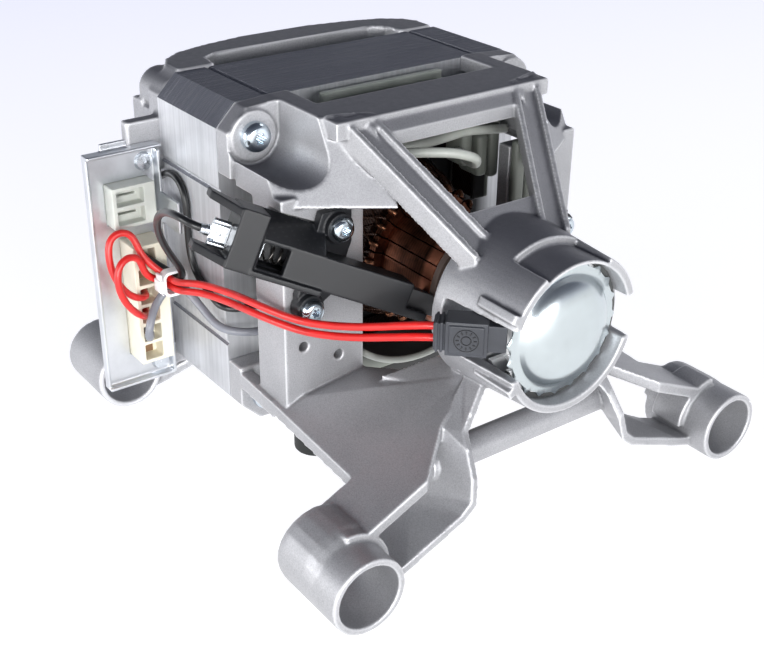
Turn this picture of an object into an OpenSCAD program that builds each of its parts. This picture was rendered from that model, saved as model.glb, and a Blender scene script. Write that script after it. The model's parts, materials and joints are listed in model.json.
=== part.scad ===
// Brushed universal motor of a front-loading washing machine, standing on its
// four mounting tubes. The shaft runs along X. The commutator end points to +X
// and the drive end to -X. Lengths in millimetres.

/* [Stator] */
// Width of the lamination stack
stack_w = 132; // [130:0.5:134]
// Height of the lamination stack
stack_h = 118; // [116:0.5:120]
// Length of the lamination stack
stack_l = 42; // [40:0.5:44]
// Diameter of the stator bore
bore_d = 66.6; // [66.2:0.1:67]

/* [Mounting tubes] */
// Distance between the left and right tubes
tube_gap = 164.4; // [163:0.2:166]
// Inside diameter of a tube
tube_bore = 22; // [20:0.1:22.4]
// Outside diameter of a tube
tube_od = 26.6; // [26:0.1:27.4]
// Depth of the tube axes below the shaft axis
tube_drop = 62.1; // [61.6:0.1:62.6]

/* [Commutator end] */
// Outside diameter of the hub at its rim
hub_d = 54; // [53.6:0.1:54.4]
// Diameter of the speed sensor cap
cap_d = 47.6; // [47:0.1:47.8]

/* [Rotor] */
// Diameter of the rotor core
rotor_d = 65.6; // [65.2:0.1:65.8]
// Diameter of the commutator
comm_d = 40; // [39.6:0.1:40]
// Number of commutator bars
comm_bars = 24; // [20:2:28]
// Outside diameter of the pulley
pulley_d = 21; // [20.5:0.1:21.5]
// Number of pulley ribs
pulley_ribs = 8; // [6:1:9]

/* [Brush gear] */
// Rise of the brush axis above the horizontal
brush_rise = 25.5; // [25:0.1:26]
// Lean of the brush axis towards the stack
brush_lean = 20; // [19.5:0.1:20.5]

/* [Leads] */
// Diameter of a lead over its insulation
lead_d = 2.6; // [2.2:0.1:2.8]

/* [Hidden] */
$fn = 64;

// stand the tubes on z = 0 and centre the length on x = 0
X0 = 105.2;
Z0 = tube_drop + tube_od/2;
ty = tube_gap/2;
tz = -tube_drop;
xr = -106.5;            // rear face of the stack
xf = xr - stack_l;      // front face of the stack
hw = stack_w/2;
hh = stack_h/2;
ch = 7.6;               // corner chamfer of the stack
sy = 56.4;              // shield screw position
sz = 49.4;
zinc = [0.78, 0.8, 0.82];
castc = [0.66, 0.67, 0.7];
dark = [0.16, 0.17, 0.19];
bkx = -148.3;           // back of the terminal bracket
rivet_z = [29.6, -52];

module put() { translate([X0, 0, Z0]) children(); }
// cylinder along X
module cx(x0, x1, r, y = 0, z = 0) { translate([x0, y, z]) rotate([0, 90, 0]) cylinder(h = x1 - x0, r = r); }
module cxx(x0, x1, r0, r1, y = 0, z = 0) { translate([x0, y, z]) rotate([0, 90, 0]) cylinder(h = x1 - x0, r1 = r0, r2 = r1); }
module tubex(x0, x1, ro, ri, y = 0, z = 0) { difference() { cx(x0, x1, ro, y, z); cx(x0 - 1, x1 + 1, ri, y, z); } }
// YZ outline pushed along X, XZ outline pushed along Y, XY outline pushed along Z
module ex(x0, x1) { translate([x0, 0, 0]) rotate([90, 0, 90]) linear_extrude(x1 - x0) children(); }
module ey(y0, y1) { translate([0, y1, 0]) rotate([90, 0, 0]) linear_extrude(y1 - y0) children(); }
module ez(z0, z1) { translate([0, 0, z0]) linear_extrude(z1 - z0) children(); }
module box(a, b) { translate(a) cube(b - a); }
// six-sided block: p[0..3] one face, p[4..7] the face opposite
module hexa(p) {
  polyhedron(points = p, faces = [[0, 1, 2], [0, 2, 3], [6, 5, 4], [7, 6, 4],
    [1, 0, 4], [1, 4, 5], [2, 1, 5], [2, 5, 6], [3, 2, 6], [3, 6, 7], [0, 3, 7], [0, 7, 4]]);
}
// plate with top corners a, b, c, d (anticlockwise from above) and depth t
module plate(a, b, c, d, t) {
  w = [0, 0, t];
  hexa([a, d, c, b, a - w, d - w, c - w, b - w]);
}
// flat outline of points p pushed by v
module slab(p, v) {
  n = len(p);
  polyhedron(points = concat(p, [for (q = p) q + v]),
    faces = concat([[for (i = [0 : n - 1]) i]], [[for (i = [n - 1 : -1 : 0]) n + i]],
      [for (i = [0 : n - 1]) [(i + 1) % n, i, n + i, n + (i + 1) % n]]));
}
module both() { children(); mirror([0, 1, 0]) children(); }

// ---------------------------------------------------------------- rear shield
// the sloping roof between the top bar and the hub
function roof(x) = 60.4 - 0.874*(x + 68.1);
module roofband(hi, lo, x0, x1) {
  ey(-70, 70) polygon([[x0, roof(x0) - lo], [x1, roof(x1) - lo], [x1, roof(x1) - hi], [x0, roof(x0) - hi]]);
}
module leg_plan(a, b) {   // strip of a leg between fractions a and b of its width
  i0 = [-70, -30.5]; i1 = [-27, -9.2]; o0 = [-74, -44.6]; o1 = [-25.5, -20.6];
  polygon([i0 + a*(o0 - i0), i1 + a*(o1 - i1), i1 + b*(o1 - i1), i0 + b*(o0 - i0)]);
}
// the sloping shoulder that runs from a corner boss to a leg
function shx(y, z) = -75 + (0.50*(y + 45) - 0.42*(z - 60))/0.76;
module shoulder() {
  hexa([[-98.2, -64, 33.6], [shx(-64, 33.6), -64, 33.6], [shx(-44.6, 33.6), -44.6, 33.6], [-98.2, -44.6, 33.6],
        [-98.2, -64, 59.6], [shx(-64, 59.6), -64, 59.6], [shx(-44.6, 59.6), -44.6, 59.6], [-98.2, -44.6, 59.6]]);
  intersection() {
    slab([for (q = [[-31.4, 59.8], [-31.4, 33.6], [-45.4, 33.6], [-45.4, 59.8]]) [shx(q[0], q[1]), q[0], q[1]]], 5*[-0.76, 0.50, -0.42]);
    ey(-70, 70) polygon([[-120, 20], [-20, 20], [-38, roof(-38) - 0.6], [-67.4, roof(-67.4) - 0.6], [-67.4, 59.9], [-120, 59.9]]);
  }
}
// strip swept through four-cornered sections
module strip(q) {
  m = len(q);
  polyhedron(points = [for (c = q) each c], faces = concat([[0, 1, 2, 3]], [[4*m - 1, 4*m - 2, 4*m - 3, 4*m - 4]],
    [for (i = [0 : m - 2]) for (k = [0 : 3]) let (a = 4*i + k, b = 4*i + (k + 1) % 4) each [[b, a, a + 4], [b, a + 4, b + 4]]]));
}
function sec(r, f, o) = [r, f, f + o, r + o];
module corner(s, k = 0) { // outline of a corner boss; s = 1 top, -1 bottom; k = inset
  polygon([[-hw + k, s*36], [-hw + k, s*(hh - ch)], [-hw + ch, s*(hh - k)], [-46, s*(hh + 0.9)], [-43.4, s*(hh - 9)], [-45, s*40], [-55, s*36]]);
}
function pz(y) = -30 + 0.46*(y + 36);   // top of the arm plate
module arm() {            // left arm with its tube, without the bore
  cx(-25.4, 4.6, tube_od/2, -ty, tz);
  // collar where the arm meets the tube
  difference() {
    cx(-20, -6.4, 15.6, -ty, tz);
    box([-40, -110, -90], [0, -50, -62]);
    box([-40, -110, -90], [0, -ty - 1, 0]);
  }
  // sloping top plate from the hub to the tube
  intersection() {
    ex(-40, 0) polygon([[-90, pz(-90)], [-90, pz(-90) - 4.6], [-15, pz(-15) - 4.6], [-15, pz(-15)]]);
    ez(-80, 0) polygon([[-28.8, -17], [-28, -18.4], [-20, -36.3], [-6.3, -52.6], [-6.3, -80.5], [-22, -85], [-28.8, -82]]);
  }
  // side plate from the arm to the stack
  plate([-78, -66, -39.4], [-28.7, -66, -43.75], [-28.7, -18, -21.8], [-78, -34, -35], 4.6);
  plate([xr + 0.1, -66, -37.4], [-76, -66, -39.5], [-76, -61, -38.9], [xr + 0.1, -61, -37], 6);
  // the side plate runs on behind the hub
  plate([-54, -36, -28.1], [-28.5, -24, -24.8], [-28.5, -18.2, -22.1], [-44.4, -18.2, -20.7], 3.6);
  // strap: down from the hub and out to the tube
  strip([sec([-24, -13, -9.3], [-32.4, -12, -8.2], [0, 3.4, -1.4]),
         sec([-20, -20.4, -20.6], [-30, -19.1, -20.2], [0, 3.0, -1.4]),
         sec([-15, -31.6, -32], [-20.4, -36, -30.8], [0, 2.8, -1.6]),
         sec([-10.5, -33.2, -36], [-20.2, -38.8, -40.2], [0, 2.7, -1.6]),
         sec([-5.5, -34.6, -44], [-20, -41.3, -49.3], [0, 2.6, -1.7]),
         sec([-4, -35.8, -51.6], [-20, -44.2, -53.2], [0, 2.4, -2.2]),
         sec([-4, -39.8, -55.2], [-20.2, -48.8, -55.8], [0, 1.7, -2.6]),
         sec([-3, -62.6, -63.4], [-21, -60.6, -62.6], [0, 0.9, -3.2]),
         sec([-3, -71, -66.2], [-21, -71, -66.6], [0, 0.9, -3.2])]);
}
module post() {           // upright that carries a brush holder
  box([-88, -64, -42], [-70, -58.6, 37]);
  box([-76, -62, -38], [-70, -32, 36]);
}
module rear_casting() {
    // seats of the top screws
    both() tubex(-99.6, -98, 8.6, 2.75, -sy, sz);
    difference() {
    union() {
      cxx(-36, 0, 29.5, hub_d/2);
      // top frame round the slot over the coil
      box([-88, -45, 55], [-66.2, 45, 60]);
      both() box([xr, -45, 54], [-66.2, -38, 60]);
      both() ex(xr, -98) corner(1);
      both() ex(xr, -98) corner(-1);
      // wall behind the top screws
      both() box([xr, -46.2, 37], [-76.6, -43.6, 60]);
      both() shoulder();
      both() post();
      both() arm();
      both() intersection() { roofband(2.4, 8, -76, -20); ez(-10, 61) leg_plan(0, 1); }
      both() intersection() { roofband(0, 9, -71, -20); ez(-10, 60.4) leg_plan(0, 0.2); }
      both() intersection() { roofband(0, 9, -71, -20); ez(-10, 60.4) leg_plan(0.8, 1); }
      intersection() { roofband(0.9, 6, -67.5, -62.6); ez(0, 61) polygon([[-70, -32], [-58, -27], [-58, 27], [-70, 32]]); }
      intersection() { roofband(2.8, 7.5, -39, -22); ez(0, 61) polygon([[-40, -16], [-22, -8], [-22, 8], [-40, 16]]); }
      // round cross bar under the hub
      translate([-22.5, -41, -45.6]) rotate([-90, 0, 0]) cylinder(h = 82, r = 5.5);
      // raised edges of the plug slot
      for (a = [153, 207]) rotate([a, 0, 0]) translate([-17, 26, -1.6]) cube([17, 3.4, 3.2]);
    }
    // driver clearance at the top screws
    both() cx(-99, -40, 10.4, -sy, sz);
    both() box([-99, -70, sz], [-60, -46, 62]);
    // room for the brush holders
    for (a = [0, 180]) rotate([a, 0, 0]) bl() translate([24, -6.9, -6.1]) cube([70, 16, 19.6]);
    both() for (s = [1, -1]) cx(xr - 1, -97, 2.75, -sy, s*sz);
    // tube bores
    both() { cx(-26, 6, tube_bore/2, -ty, tz); cx(-32, -25.4, tube_bore/2 + 1.4, -ty, tz); }
    // sensor recess, bearing seat, shaft way
    cx(-19, 1, 24.2);
    cx(-33, -21, 16);
    cx(-40, -18, 9);
    // slot for the plug on the left of the hub
    box([-31, -33, -8.8], [1, -12, 8.8]);
    // opening in the rim on the right
    box([-9, 12, -7.5], [1, 33, 7.5]);
    // step in the top of the hub
    ex(-15.5, 1) difference() {
      polygon([for (a = [60, 120]) 36*[cos(a), sin(a)], [0, 0]]);
      circle(r = 25.4);
    }
    // lightening holes in the posts
    for (q = [[-56.6, -17.4], [-42.4, -24.7]]) cx(-78, -69, 1.8, q[0], q[1]);
    // holes for the brush holder screws
    for (a = [0, 180]) rotate([a, 0, 0]) { cx(-78, -69, 1.7, -56.7, -1.2); cx(-78, -69, 1.7, -44.7, 25); }
    }
}
// the rear shield is one casting; it is held as six nodes that meet at flat cuts
cut_x = -68.6;
cut_z = -19;
module rear_cut(a, b) { put() color(castc) intersection() { rear_casting(); box(a, b); } }
module rear_shield_frame_left() { rear_cut([-120, -110, -90], [cut_x, 0, 70]); }
module rear_shield_frame_right() { rear_cut([-120, 0, -90], [cut_x, 110, 70]); }
module rear_shield_hub_left() { rear_cut([cut_x, -110, cut_z], [10, 0, 70]); }
module rear_shield_hub_right() { rear_cut([cut_x, 0, cut_z], [10, 110, 70]); }
module rear_shield_arm_left() { rear_cut([cut_x, -110, -90], [10, 0, cut_z]); }
module rear_shield_arm_right() { rear_cut([cut_x, 0, -90], [10, 110, cut_z]); }
// --------------------------------------------------------------- front shield
module front_arm() {
  cx(-187.4, -157.4, tube_od/2, -ty, tz);
  plate([-180, -80.5, -50], [-158.4, -80.5, -50], [-150, -46, -40], [-172, -40, -40], 5);
  plate([-180, -70.6, -67.5], [-160, -70.6, -67.5], [-150, -46, -53.6], [-172, -40, -53.6], 4.4);
}
// half plan of the arched bars, from the stack to the middle
arch = [[xf + 0.001, 57.5], [-158, 57.6], [-164, 54.2], [-169.6, 47], [-173.8, 33], [-176.4, 17], [-177, 3]];
module front_end_shield() {
  put() color(castc) difference() {
    union() {
      cx(-190, -164, 26);
      both() ex(-158, xf) corner(1, 1);
      both() ex(-158, xf) corner(-1, 1);
      both() for (s = [-sz, sz]) cx(-167, -150, 8, -sy, s);
      // arched bars above and below
      for (s = [0, 1]) mirror([0, 0, s]) ez(53.6, 59.8) difference() {
        polygon([for (t = [-1, 1]) for (q = t < 0 ? [0 : 6] : [6 : -1 : 0]) [arch[q][0], t*arch[q][1]]]);
        polygon([[-148, -42.2], [-158, -41], [-161.4, -35], [-161.8, -20], [-162, 0],
                 [-161.8, 20], [-161.4, 35], [-158, 41], [-148, 42.2]]);
      }
      // legs from the hub to the corners
      both() for (s = [0, 1]) mirror([0, 0, s])
        hexa([[-166.6, -9, 22], [-166.6, -22, 9], [-166.6, -60, 40], [-166.6, -46, 55],
              [-184, -9, 22], [-184, -22, 9], [-173, -60, 40], [-173, -46, 55]]);
      both() box([-171.9, -65, -46], [-164, -56, 46]);
      both() front_arm();
      // ears that the terminal bracket is riveted to
      box([bkx - 5, -79, 24.4], [bkx, -66.2, 44]);
      box([bkx - 5, -67, 24.4], [xf, -60, 44]);
      box([bkx - 5, -79, -57], [bkx, -66.2, -47.4]);
      box([bkx - 5, -67, -57], [xf, -60, -47.4]);
      box([-166, -65, -50], [xf, -60, 44]);
    }
    both() cx(-188, -157, tube_bore/2, -ty, tz);
    both() for (s = [1, -1]) { cx(-168, xf + 1, 2.75, -sy, s*sz); cx(-185, -167, 6.2, -sy, s*sz); }
    cx(-183, -163, 17.5);
    cx(-191, -160, 11);
    // room for the coils and the fan
    cx(-166.5, -140, 45);
    for (z = rivet_z) cx(bkx - 6, bkx + 1, 2.1, -74, z);
  }
}
// --------------------------------------------------------------------- stator
module stator_core() {
  put() color([0.6, 0.61, 0.63]) difference() {
    ex(xf, xr) difference() {
      polygon([[-hw, -hh + ch], [-hw + ch, -hh], [hw - ch, -hh], [hw, -hh + ch],
               [hw, hh - ch], [hw - ch, hh], [-hw + ch, hh], [-hw, hh - ch]]);
      circle(r = bore_d/2, $fn = 96);
      for (m = [0, 1]) mirror([m, 0]) {
        // winding windows
        translate([-43.4, -34.5]) square([9.4, 69]);
        translate([-38, -6]) square([12, 12]);
        // alignment grooves
        for (s = [1, -1]) translate([-45.3, s*(hh + 0.4)]) circle(r = 1.2, $fn = 24);
        for (z = [29, -29]) translate([-hw - 0.5, z]) circle(r = 1.3, $fn = 24);
      }
    }
    both() for (s = [1, -1]) cx(xf - 1, xr + 1, 2.3, -sy, s*sz);
  }
}
module coil_half() {      // field coil over the upper pole
  both() box([xf - 2.4, -42, 8.4], [xr + 2.4, -35.4, 33]);
  for (x = [xf - 12, xr + 2.4]) {
    box([x, -42, 36], [x + 9.6, 42, 47.6]);
    both() box([x, -42, 8.4], [x + 9.6, -35.4, 47.6]);
  }
}
module field_coil_upper() { put() color([0.72, 0.36, 0.2]) coil_half(); }
module field_coil_lower() { put() color([0.72, 0.36, 0.2]) mirror([0, 0, 1]) coil_half(); }
module frame_half() {     // moulded insulator that lines the slots and guides the coil
  both() difference() {
    box([xf - 1.6, -43.1, 7.2], [xr + 1.6, -34.3, 34.2]);
    box([xf - 3, -42, 8.4], [xr + 3, -35.4, 33]);
  }
  for (x = [xf - 13.8, xr + 12]) {
    difference() {
      box([x, -42.9, 34.6], [x + 1.8, 42.9, 52.6]);
      box([x - 1, -34, 30], [x + 3, 34, 36]);
    }
    both() box([x, -42.9, 7.2], [x + 1.8, -35.4, 40]);
  }
  for (x = [xf - 13.8, xr + 0.1]) {
    box([x, -42.9, 47.6], [x + 13.7, 42.9, 49]);
    both() box([x, -42.9, 7.2], [x + 13.7, -42, 49]);
  }
}
// wire guide that stands up in the slot of the rear shield
module frame_loop() {
  box([xr + 3, -27, 55], [xr + 5.6, 25, 58]);
  for (y = [-27, 22.4]) box([xr + 3, y, 48.6], [xr + 5.6, y + 2.6, 58]);
}
module coil_frame_upper() { put() color([0.86, 0.87, 0.84]) { frame_half(); frame_loop(); } }
module coil_frame_lower() { put() color([0.86, 0.87, 0.84]) mirror([0, 0, 1]) frame_half(); }

// pan head screw along -X with a six-lobe recess; head seat at x = 0
module pan_screw(d, hd, hl, l) {
  difference() {
    union() {
      rotate([0, 90, 0]) rotate_extrude() polygon([[0, 0], [hd/2, 0], [hd/2, hl*0.45], [hd*0.46, hl*0.72], [hd*0.36, hl*0.93], [hd*0.24, hl], [0, hl]]);
      cx(-l, 0.1, d/2);
    }
    ex(hl*0.4, hl + 1) { for (a = [0 : 60 : 300]) rotate(a) translate([hd*0.15, 0]) circle(r = hd*0.06, $fn = 16); circle(r = hd*0.15, $fn = 24); }
  }
}
module rear_shield_screws() {
  put() color(zinc) for (y = [-sy, sy], z = [-sz, sz]) translate([-98, y, z]) pan_screw(4.6, 10.4, 4, 45);
}
module front_shield_screws() {
  put() color(zinc) for (y = [-sy, sy], z = [-sz, sz]) translate([-167, y, z]) mirror([1, 0, 0]) pan_screw(4.6, 10.4, 3.6, 20);
}
// ---------------------------------------------------------------------- rotor
module shaft() {
  put() color([0.7, 0.71, 0.73]) {
    rotate([0, 90, 0]) rotate_extrude() polygon([[0, -215], [5.4, -215], [6, -214.4], [6, -188], [7.5, -188], [7.5, -164], [8.5, -164],
      [8.5, -38], [6, -38], [6, -20.4], [4, -20.4], [4, -6.4], [3.6, -6], [0, -6]]);
  }
}
module rotor_core() {
  put() color([0.5, 0.51, 0.53]) ex(xf, xr) difference() {
    circle(r = rotor_d/2, $fn = 96);
    circle(r = 8.5);
    for (a = [0 : 30 : 330]) rotate(a) translate([19, -2.2]) square([11, 4.4]);
    for (a = [0 : 30 : 330]) rotate(a) translate([28, -0.9]) square([8, 1.8]);
  }
}
module armature_winding() {
  put() color([0.6, 0.3, 0.18]) {
    rotate([0, 90, 0]) rotate_extrude() polygon([[12.5, xr + 0.1], [29.6, xr + 0.1], [30, xr + 6], [27.5, xr + 17], [22, xr + 22], [13.2, xr + 23]]);
    rotate([0, 90, 0]) rotate_extrude() polygon([[12.5, xf - 0.1], [13, xf - 10], [24, xf - 10], [29, xf - 7], [29.6, xf - 0.1]]);
    for (a = [0 : 30 : 330]) rotate([a, 0, 0]) box([xf - 0.1, -2.1, 19.2], [xr + 0.1, 2.1, 29.4]);
  }
}
module commutator_bars() {
  w = 360/comm_bars;
  put() color([0.78, 0.45, 0.28]) for (i = [0 : comm_bars - 1])
    rotate([i*w, 0, 0]) rotate([0, 90, 0]) rotate_extrude(angle = w - 1.5)
      polygon([[13, -49], [comm_d/2, -49], [comm_d/2, -76.4], [23.6, -76.4], [23.6, -79.4], [13, -79.4]]);
}
module commutator_hub() {
  put() color([0.25, 0.16, 0.12]) tubex(-80, -47.4, 13, 8.5);
}
module cooling_fan() {
  put() color([0.2, 0.2, 0.22]) {
    difference() {
      union() {
        cx(-163.6, -161.2, 33);
        cx(-163.6, -160.4, 12);
        for (a = [0 : 36 : 324]) rotate([a, 0, 0]) box([-161.4, -1, 13], [-160.4, 1, 32]);
      }
      cx(-170, -150, 8.5);
    }
  }
}
module drive_pulley() {
  p = 2.34;
  x1 = -214;
  n = pulley_ribs;
  put() color([0.55, 0.56, 0.58]) difference() {
    rotate([0, 90, 0]) rotate_extrude() polygon(concat([[6.2, x1], [pulley_d/2 + 1.4, x1], [pulley_d/2 + 1.4, x1 + 1.6]],
      [for (i = [0 : n - 1]) each [[pulley_d/2, x1 + 2 + i*p], [pulley_d/2 - 2.2, x1 + 2 + (i + 0.45)*p], [pulley_d/2 - 2.2, x1 + 2 + (i + 0.55)*p]]],
      [[pulley_d/2, x1 + 2 + n*p], [pulley_d/2, x1 + 3.4 + n*p], [6.2, x1 + 3.4 + n*p]]));
    cx(-230, -180, 6.0);
  }
}
module ring(x0, x1, ro, ri, c = 0.5) {
  rotate([0, 90, 0]) rotate_extrude() polygon([[ri, x0], [ro - c, x0], [ro, x0 + c], [ro, x1 - c], [ro - c, x1], [ri, x1]]);
}
module balls(x, rp, rb, n) { for (i = [0 : n - 1]) rotate([i*360/n, 0, 0]) translate([x, 0, rp]) sphere(r = rb, $fn = 32); }
module front_bearing_outer() { put() color(zinc) ring(-183, -172, 17.5, 14.6); }
module front_bearing_inner() { put() color(zinc) ring(-183, -172, 9.9, 7.5, 0.3); }
module front_bearing_balls() { put() color([0.85, 0.86, 0.88]) balls(-177.5, 12.39, 2.25, 8); }
module rear_bearing_outer() { put() color(zinc) ring(-33, -23, 16, 13.2); }
module rear_bearing_inner() { put() color(zinc) ring(-33, -23, 8.4, 6, 0.3); }
module rear_bearing_balls() { put() color([0.85, 0.86, 0.88]) balls(-28, 10.94, 2.3, 7); }
module wave_washer() { put() color([0.6, 0.62, 0.64]) tubex(-22.9, -21.1, 15.6, 12.4); }
module shaft_circlip() { put() color([0.3, 0.31, 0.33]) difference() { tubex(-22.6, -21.4, 8, 6); box([-24, -9, -9], [-20, 9, -4.6]); } }

// --------------------------------------------------------------- speed sensor
module tacho_magnet() { put() color([0.2, 0.2, 0.21]) tubex(-14, -6.6, 10, 4); }
module tacho_coil() {
  put() color([0.88, 0.88, 0.86]) {
    difference() {
      rotate([0, 90, 0]) rotate_extrude() polygon([[11.4, -17], [22.6, -17], [22.6, -15.4], [18, -15.4], [18, -8.4], [22.6, -8.4], [22.6, -6.8], [11.4, -6.8]]);
      box([-20, -30, -9.2], [0, -14, 9.2]);
    }
  }
}
module tacho_cap() {
  r = cap_d/2;
  put() color(zinc) rotate([0, 90, 0]) rotate_extrude()
    polygon([[0, 0.6], [12.4, 0.6], [14, 0.2], [15.6, -1.2], [17.6, -4.2], [19.6, -5.2], [r, -5.2],
             [r, -6.2], [19, -6.2], [17, -5.2], [14.8, -2.2], [13.2, -0.8], [12, -0.4], [0, -0.4]]);
}
module tacho_plug() {
  // axis of the plug: horizontal, half way between the shaft and the left side
  put() color(dark) translate([-17.2, -29.8, 2.6]) rotate([0, 0, 46.5]) difference() {
    union() {
      translate([-6.6, -4.4, -5.9]) cube([13.2, 8.8, 11.8]);
      translate([-5.4, -5, -4.8]) cube([10.8, 2, 9.6]);
      translate([6, -3, -4.6]) cube([6.5, 6.6, 9.2]);
      translate([-10.4, -3.4, -4.6]) cube([4.4, 6.8, 9.2]);
      for (x = [-9.8, -8.2]) translate([x, -3.9, -5.2]) cube([0.8, 7.8, 10.4]);
    }
    for (z = [-2.1, 2.1]) translate([-12, 0, z]) rotate([0, 90, 0]) cylinder(h = 8, r = lead_d/2 + 0.05);
  }
}
// ----------------------------------------------------------------- brush gear
// local frame of a holder: +x out along the brush, +y towards the stack, +z up.
// The origin lies on the brush axis where it passes closest to the shaft.
brush_x = -42.6;         // where that point lies along the shaft
brush_off = 11;          // how far the brush axis passes below the shaft
module bl() {
  translate([brush_x, 0, 0]) rotate([-brush_rise, 0, 0])
    translate([0, 0, -brush_off]) rotate([0, 0, 270 - brush_lean]) mirror([0, 1, 0]) children();
}
module bf(s) { put() rotate([s ? 180 : 0, 0, 0]) bl() children(); }
module holder() {
  difference() {
    union() {
      // channel
      translate([28, -6.4, -5.6]) cube([54, 12.8, 11.2]);
      translate([20, -6.4, -5.6]) cube([10, 12.8, 3]);
      // end block
      translate([82, -7.4, -7.2]) cube([9, 14.8, 20]);
      // guards either side of the terminal
      slab([[90, -7.4, 9.6], [101, -1, 11.4], [101, 5, 11.4], [90, 7.4, 9.6]], [0, 0, 2.6]);
      slab([[90, -7.4, -7.2], [101, -1, -5.8], [101, 5, -5.8], [90, 7.4, -7.2]], [0, 0, 2.8]);
      // sloping cover over the outer half of the channel
      ex(60, 82.5) polygon([[-6.4, 5], [-6.4, 5.6], [6.4, 13], [6.4, 5]]);
      // ledge along the foot of the channel
      translate([58, -7.6, -7.2]) cube([24.5, 6, 2]);
    }
    // brush way
    translate([10, -3.1, -3.6]) cube([70, 6.2, 7.2]);
    // side window near the outer end
    translate([72, -12, -4.2]) cube([9, 10, 8.4]);
    // terminal slot
    translate([79, -0.5, -2]) cube([16, 1, 7]);
  }
}
module holder_flange() {   // mounting plate, flat against the post
  box([-69.9, -60.6, -6.4], [-66.6, -50.6, 4]);
  box([-69.9, -50.6, 19], [-66.6, -39, 31]);
  slab([[-69.9, -60.6, -6.4], [-69.9, -46, 2], [-69.9, -39, 19], [-69.9, -39, 31], [-69.9, -50.6, 31], [-69.9, -60.6, 4]], [3.3, 0, 0]);
  for (q = [[-56.7, -1.2], [-44.7, 25]]) cx(-69.9, -64.6, 5.2, q[0], q[1]);
}
module holder_all(s) {
  color(dark) difference() {
    union() {
      bf(s) holder();
      put() rotate([s ? 180 : 0, 0, 0]) holder_flange();
    }
    bf(s) translate([10, -3.1, -3.6]) cube([70, 6.2, 7.2]);
    put() rotate([s ? 180 : 0, 0, 0]) for (q = [[-56.7, -1.2], [-44.7, 25]]) cx(-71, -60, 1.7, q[0], q[1]);
  }
}
module brush(s) {
  difference() {
    bf(s) translate([10, -2.95, -3.45]) cube([38, 5.9, 6.9]);
    put() cx(-90, -30, comm_d/2 + 0.35);
  }
}
module spring(s) {         // closed outer shape of the coil spring behind the brush
  bf(s) translate([48, 0, 0]) rotate([0, 90, 0]) difference() { cylinder(h = 30.6, r = 2.8); translate([0, 0, -1]) cylinder(h = 33, r = 2.1); }
}
module brush_holder_left() { holder_all(0); }
module brush_holder_right() { holder_all(1); }
module carbon_brush_left() { color([0.12, 0.12, 0.13]) brush(0); }
module carbon_brush_right() { color([0.12, 0.12, 0.13]) brush(1); }
module brush_spring_left() { color(zinc) spring(0); }
module brush_spring_right() { color(zinc) spring(1); }
module tab(s) { color(zinc) bf(s) translate([79.2, -0.4, -1.9]) cube([16, 0.8, 6.8]); }
module brush_terminal_left() { tab(0); }
module brush_terminal_right() { tab(1); }
module brush_holder_screws() {
  put() color(zinc) for (a = [0, 180]) rotate([a, 0, 0]) for (q = [[-56.7, -1.2], [-44.7, 25]])
    translate([-64.6, q[0], q[1]]) pan_screw(3.2, 8.2, 2.9, 10);
}
module terminal_sleeve() { // crimped push-on receptacle on the left terminal
  color(zinc) bf(0) {
    difference() {
      translate([91.4, -1.6, -2.7]) cube([5.6, 3.2, 8.4]);
      translate([90, -0.4, -1.9]) cube([5.2, 0.8, 6.8]);
    }
    difference() {
      translate([96.8, -1.9, -0.6]) cube([3.6, 3.8, 4.2]);
      translate([97.4, 0, 1.5]) rotate([0, 90, 0]) cylinder(h = 8, r = 1.32);
    }
  }
}
// -------------------------------------------------------- terminals and leads
module terminal_bracket() {
  put() color(zinc) difference() {
    union() {
      box([bkx, -96.4, -57], [bkx + 1.2, -69.4, 36]);
      // folded lips: top, left, right, bottom
      box([bkx, -96.9, 35], [bkx + 5.2, -68.4, 36.2]);
      box([bkx, -90, 36.1], [bkx + 1.2, -80, 38.8]);
      box([bkx, -96.9, -57], [bkx + 3.4, -95.7, 35.2]);
      box([bkx, -70.2, -57], [bkx + 5, -69, 34]);
      box([bkx, -96.4, -57.8], [bkx + 4.2, -69.4, -56.6]);
      // tab along the side of the stack
      box([bkx + 4.8, -70.2, 6], [-130, -69, 18]);
    }
    for (z = rivet_z) cx(bkx - 1, bkx + 2, 2.1, -74, z);
    box([bkx - 1, -90, 8], [bkx + 2, -73, 24]);
    box([bkx - 1, -86, -46], [bkx + 2, -72.5, 2]);
  }
}
// connector block: wire cells on the +X side, a plug recess on the -X side
module connector_box(y0, y1, z0, z1, n, x1, xc, xs) {
  w = (z1 - z0 - 1.4)/n;
  difference() {
    box([bkx - 7, y0, z0], [x1, y1, z1]);
    for (i = [0 : n - 1]) {
      box([xc, y0 + 1.6, z0 + 1.4 + i*w], [x1 + 1, y1 - 4.4, z0 + i*w + w]);
      box([xs - 1, y0 + 3, z0 + 1.4 + (i + 0.5)*w - 1.1], [xc + 1, y1 - 6, z0 + 1.4 + (i + 0.5)*w - 0.3]);
    }
    box([bkx - 8, y0 + 1.6, z0 + 1.6], [xs, y1 - 1.6, z1 - 1.6]);
  }
}
module terminal_connector() { put() color([0.88, 0.85, 0.74]) connector_box(-85.8, -72.7, -45.8, 1.8, 6, -136.8, -143, -150); }
module coding_connector() { put() color([0.62, 0.62, 0.5]) connector_box(-89.8, -73.2, 8.2, 23.8, 2, -141, -145, -150); }
module connector_contacts() {
  w = (47.6 - 1.4)/6;
  put() color(zinc) for (i = [0 : 5])
    box([-150, -82.8, -44.4 + (i + 0.5)*w - 1.1], [-143, -78.7, -44.4 + (i + 0.5)*w - 0.3]);
}
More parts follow.
